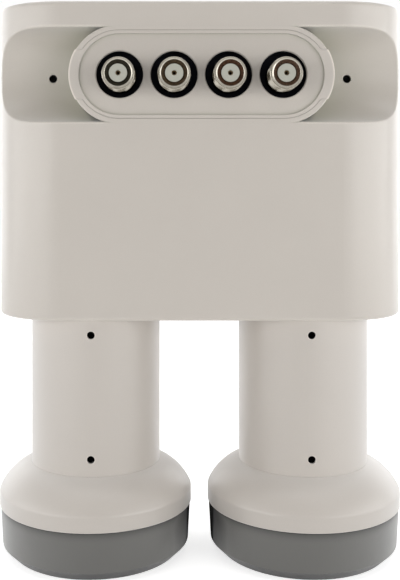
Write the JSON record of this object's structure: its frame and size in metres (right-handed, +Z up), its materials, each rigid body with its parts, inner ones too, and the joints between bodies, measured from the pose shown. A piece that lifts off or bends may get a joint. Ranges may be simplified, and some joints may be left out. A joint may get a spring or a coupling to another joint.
{
  "type": "satellite lnb",
  "caption": "Satellite receiver head with a flat rounded body, a row of threaded output ports in a front channel, and round clamp necks that flare into grey feed caps.",
  "frame": {"origin": "midway between the two feed axes, on the plane of the feed caps' faces", "axes": "+Z up from the feed caps to the body, -Y towards the output ports, +X to the right as seen from the ports"},
  "size_m": [0.1247, 0.0596, 0.1676],
  "materials": {
    "housing": "fine-grained moulded plastic, warm light grey",
    "cap": "fine-grained moulded plastic, mid grey",
    "nickel": "bright nickel plating",
    "insulator": "smooth white insulating plastic",
    "brass": "plated brass contact",
    "rubber": "black moulded rubber",
    "casting": "as-cast aluminium",
    "board": "green circuit board",
    "chip": "black chip package",
    "steel": "zinc-plated screws"
  },
  "bodies": {
    "root": {"board_chips": "chip", "cap_seal_left": "rubber", "cap_seal_right": "rubber", "chassis_casting": "casting", "circuit_board": "board", "connector_plate": "housing", "f_contact_1": "brass", "f_contact_2": "brass", "f_contact_3": "brass", "f_contact_4": "brass", "f_insulator_1": "insulator", "f_insulator_2": "insulator", "f_insulator_3": "insulator", "f_insulator_4": "insulator", "f_shell_1": "nickel", "f_shell_2": "nickel", "f_shell_3": "nickel", "f_shell_4": "nickel", "feed_cap_left": "cap", "feed_cap_right": "cap", "lid_gasket": "rubber", "lid_screws": "steel", "main_housing": "housing", "neck_sleeve_left": "housing", "neck_sleeve_right": "housing", "port_gasket": "rubber", "probe_bushes": "insulator", "probe_pins": "brass", "rear_cover": "housing", "shield_lid": "casting"}
  },
  "joints": []
}
